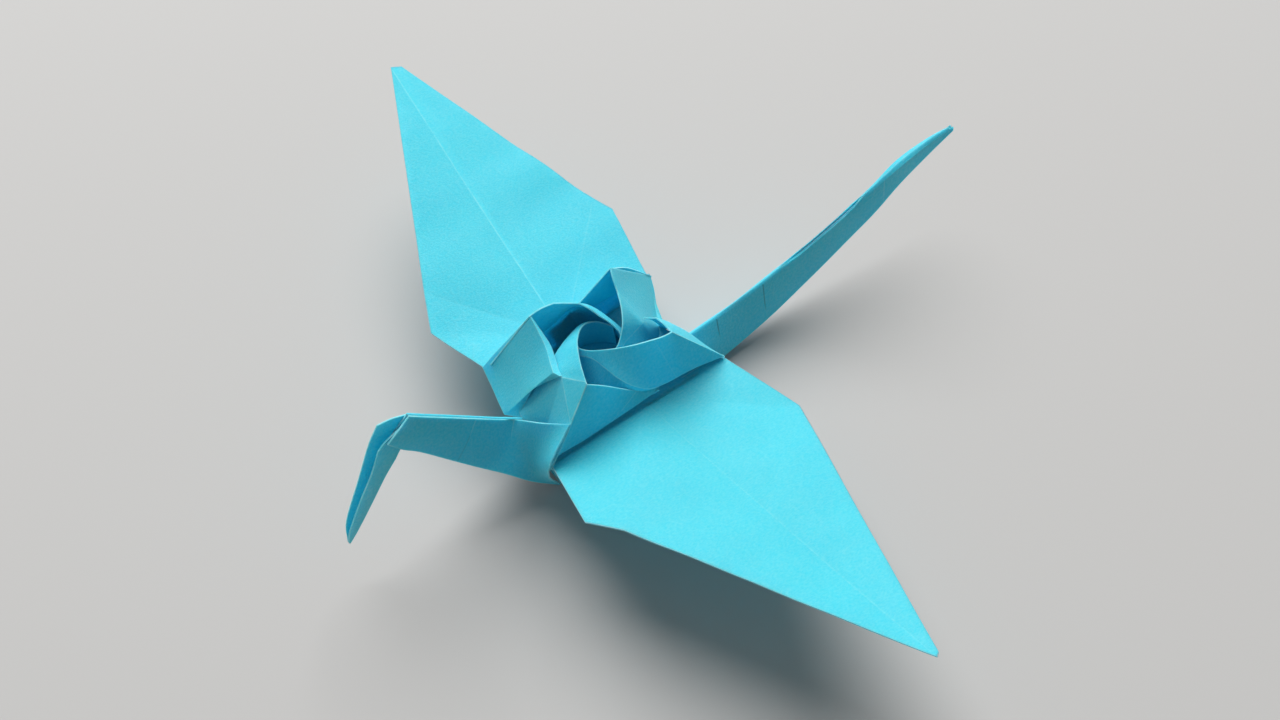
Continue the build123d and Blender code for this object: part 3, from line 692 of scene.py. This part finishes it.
class CRANE_OT_rose(Operator):
    """Folds the four petals of the rose and the flaps between them"""

    bl_idname = "crane.rose"
    bl_label = "Rose"

    def execute(self, context):
        thick = paper_mm()
        bm = new_paper()
        sheet(bm, FRONT_PETAL, thick, turns=(1,), folds=(1,), creases=FRONT_PETAL_CREASES)
        sheet(bm, REAR_PETAL, thick, turns=(3,), folds=(1,), creases=REAR_PETAL_CREASES)
        sheet(bm, NEAR_PETAL, thick, folds=(1,), creases=NEAR_PETAL_CREASES)
        sheet(bm, FAR_PETAL, thick, turns=(2, 4), folds=(1,), creases=FAR_PETAL_CREASES)
        finish_piece(bm, "rose_petals")
        bm = new_paper()
        half_turn = Matrix.Rotation(math.pi, 3, "Z")
        far_flap = [[half_turn @ Vector(point) for point in line] for line in WING_FLAP]
        for flap in (WING_FLAP, far_flap):
            sheet(bm, turned_over(flap), thick, folds=(2,), creases=WING_FLAP_CREASES)
        sheet(bm, turned_over(FRONT_FLAP), thick, turns=(1,), folds=(1, 3), creases=FRONT_FLAP_CREASES)
        sheet(bm, turned_over(REAR_FLAP), thick, turns=(1,))
        finish_piece(bm, "rose_flaps")
        return {"FINISHED"}


class CRANE_OT_body(Operator):
    """Folds the body under the rose"""

    bl_idname = "crane.body"
    bl_label = "Body"

    def execute(self, context):
        bm = new_paper()
        corner = {key: bm.verts.new(place) for key, place in BODY.items()}
        for panel in BODY_PANELS:
            bm.faces.new([corner[key] for key in panel])
        cut_up(bm, [((x, 0, 0), (1, 0, 0)) for x in BODY_CUTS])
        bmesh.ops.recalc_face_normals(bm, faces=bm.faces)
        add_border(bm)
        # Pale edges: rubbed dye, partly painted highlight
        mark_edge_wear_and_highlight(bm, BODY_EDGE_WEAR_AND_HIGHLIGHT)
        finish_sheet(bm, bm.verts[:], paper_mm(BODY_LAYERS), BODY_WOBBLE)
        flat_sheet(bm, [(x, y, DECK_TOP) for x, y in DECK_OUTLINE], paper_mm(BODY_LAYERS))
        for web in STERN_WEBS:
            flat_sheet(bm, web, paper_mm())
        finish_piece(bm, "body")
        return {"FINISHED"}


class CRANE_OT_neck(Operator):
    """Folds the neck and the head"""

    bl_idname = "crane.neck"
    bl_label = "Neck and head"

    def execute(self, context):
        forwards, up = NECK_RIDGE_TOP
        far_rows = (
            [(x, -NECK_RIDGE_HALF, z) for x, z in NECK_RIDGE],
            [(x + forwards, 0, z + up) for x, z in NECK_RIDGE],
            [(x, NECK_RIDGE_HALF, z) for x, z in NECK_RIDGE],
            NECK_FAR_FOOT,
        )
        bm = new_paper()
        sheet(bm, NECK_NEAR, paper_mm(NECK_LAYERS), turns=(1,), creases=NECK_CREASES, wobble=0.3)
        sheet(bm, far_rows, paper_mm(NECK_LAYERS), folds=(0, 2), creases=NECK_RIDGE_CREASES)
        finish_piece(bm, "neck")
        near_fold = [(x, -y, z) for x, y, z in HEAD_FOLD]
        head_rows = (HEAD_NEAR, near_fold, HEAD_FOLD, HEAD_FAR)
        bm = new_paper()
        sheet(bm, head_rows, paper_mm(), turns=(2,), folds=(1, 2), creases=HEAD_CREASES, wobble=0.05)
        finish_piece(bm, "head")
        return {"FINISHED"}


class CRANE_OT_tail(Operator):
    """Folds the tail"""

    bl_idname = "crane.tail"
    bl_label = "Tail"

    def execute(self, context):
        rows = []
        for side, low in ((1, True), (1, False), (0, False), (-1, False), (-1, True)):
            row = []
            for reach, height, depth, half_open, half_ridge in TAIL_STATIONS:
                if low:
                    row.append((reach, side * half_open, height - depth))
                else:
                    row.append((reach, side * half_ridge, height - abs(side) * TAIL_RIDGE_DROP))
            rows.append(row)
        bm = new_paper()
        sheet(bm, rows, paper_mm(TAIL_LAYERS), folds=(1, 3), creases=TAIL_CREASES, rim=0.3, wobble=0.35)
        finish_piece(bm, "tail")
        return {"FINISHED"}


class CRANE_OT_stage(Operator):
    """Sets the floor, the light and the camera"""

    bl_idname = "crane.stage"
    bl_label = "Stage"

    def execute(self, context):
        scene = context.scene
        settings = scene.rose_crane_stage
        scene.view_settings.view_transform = "Standard"
        self.floor(scene, settings)
        self.surroundings(scene, settings)
        self.lamp(scene, settings)
        self.camera(scene)
        return {"FINISHED"}

    def floor(self, scene, settings):
        """A plain pale floor."""
        bm = bmesh.new()
        bmesh.ops.create_grid(bm, x_segments=1, y_segments=1, size=FLOOR_HALF)
        mesh = bpy.data.meshes.new("floor")
        bm.to_mesh(mesh)
        bm.free()
        floor = bpy.data.objects.new("floor", mesh)
        scene.collection.objects.link(floor)
        material = bpy.data.materials.new("pale floor")
        material.use_nodes = True
        shader = material.node_tree.nodes["Principled BSDF"]
        shader.inputs["Base Color"].default_value = (*settings.floor_colour, 1)
        shader.inputs["Roughness"].default_value = FLOOR_ROUGHNESS
        mesh.materials.append(material)

    def surroundings(self, scene, settings):
        """White light from all round, with its own brightness where it is seen or reflected."""
        world = bpy.data.worlds.new("studio")
        scene.world = world
        world.use_nodes = True
        tree = world.node_tree
        sky = tree.nodes["Background"]
        sky.inputs["Color"].default_value = (1, 1, 1, 1)
        path = tree.nodes.new("ShaderNodeLightPath")
        seen = path.outputs["Is Camera Ray"]
        for kind in ("Is Glossy Ray", "Is Transmission Ray"):
            either = tree.nodes.new("ShaderNodeMath")
            either.operation = "MAXIMUM"
            feed(tree, seen, either.inputs[0])
            feed(tree, path.outputs[kind], either.inputs[1])
            seen = either.outputs[0]
        strength = spread(tree, seen, (0, 1), (settings.fill, settings.backdrop))
        feed(tree, strength, sky.inputs["Strength"])

    def lamp(self, scene, settings):
        """One large soft lamp that faces the crane."""
        light = bpy.data.lights.new("key", "AREA")
        light.shape = "DISK"
        light.size = LAMP_SIZE
        light.energy = settings.key_power
        holder = bpy.data.objects.new("key", light)
        holder.location = LAMP_PLACE
        holder.rotation_euler = (-Vector(LAMP_PLACE)).to_track_quat("-Z", "Y").to_euler()
        scene.collection.objects.link(holder)

    def camera(self, scene):
        """The camera, placed and turned as in the reference picture."""
        camera = bpy.data.cameras.new("camera")
        camera.sensor_width = CAMERA_SENSOR
        camera.lens = CAMERA_LENS
        camera.clip_start = CAMERA_NEAREST
        holder = bpy.data.objects.new("camera", camera)
        holder.location = CAMERA_PLACE
        holder.rotation_euler = [math.radians(angle) for angle in CAMERA_TURN]
        scene.collection.objects.link(holder)
        scene.camera = holder


class CRANE_PT_panel(Panel):
    """Lists the steps of the crane"""

    bl_idname = "CRANE_PT_panel"
    bl_label = "Rose crane"
    bl_space_type = "VIEW_3D"
    bl_region_type = "UI"
    bl_category = "Crane"

    def draw(self, context):
        for step in STEPS:
            self.layout.operator(step.bl_idname)
        for settings in (context.scene.rose_crane_paper, context.scene.rose_crane_stage):
            for key in settings.__annotations__:
                self.layout.prop(settings, key)


STEPS = (CRANE_OT_wings, CRANE_OT_rose, CRANE_OT_body, CRANE_OT_neck, CRANE_OT_tail, CRANE_OT_stage)
CLASSES = (PaperSettings, StageSettings, *STEPS, CRANE_PT_panel)


def register():
    for cls in CLASSES:
        bpy.utils.register_class(cls)
    bpy.types.Scene.rose_crane_paper = PointerProperty(type=PaperSettings)
    bpy.types.Scene.rose_crane_stage = PointerProperty(type=StageSettings)


def unregister():
    del bpy.types.Scene.rose_crane_paper
    del bpy.types.Scene.rose_crane_stage
    for cls in reversed(CLASSES):
        bpy.utils.unregister_class(cls)


def main():
    register()
    bpy.ops.crane.wings()
    bpy.ops.crane.rose()
    bpy.ops.crane.body()
    bpy.ops.crane.neck()
    bpy.ops.crane.tail()
    bpy.ops.crane.stage()


if __name__ == "__main__":
    main()
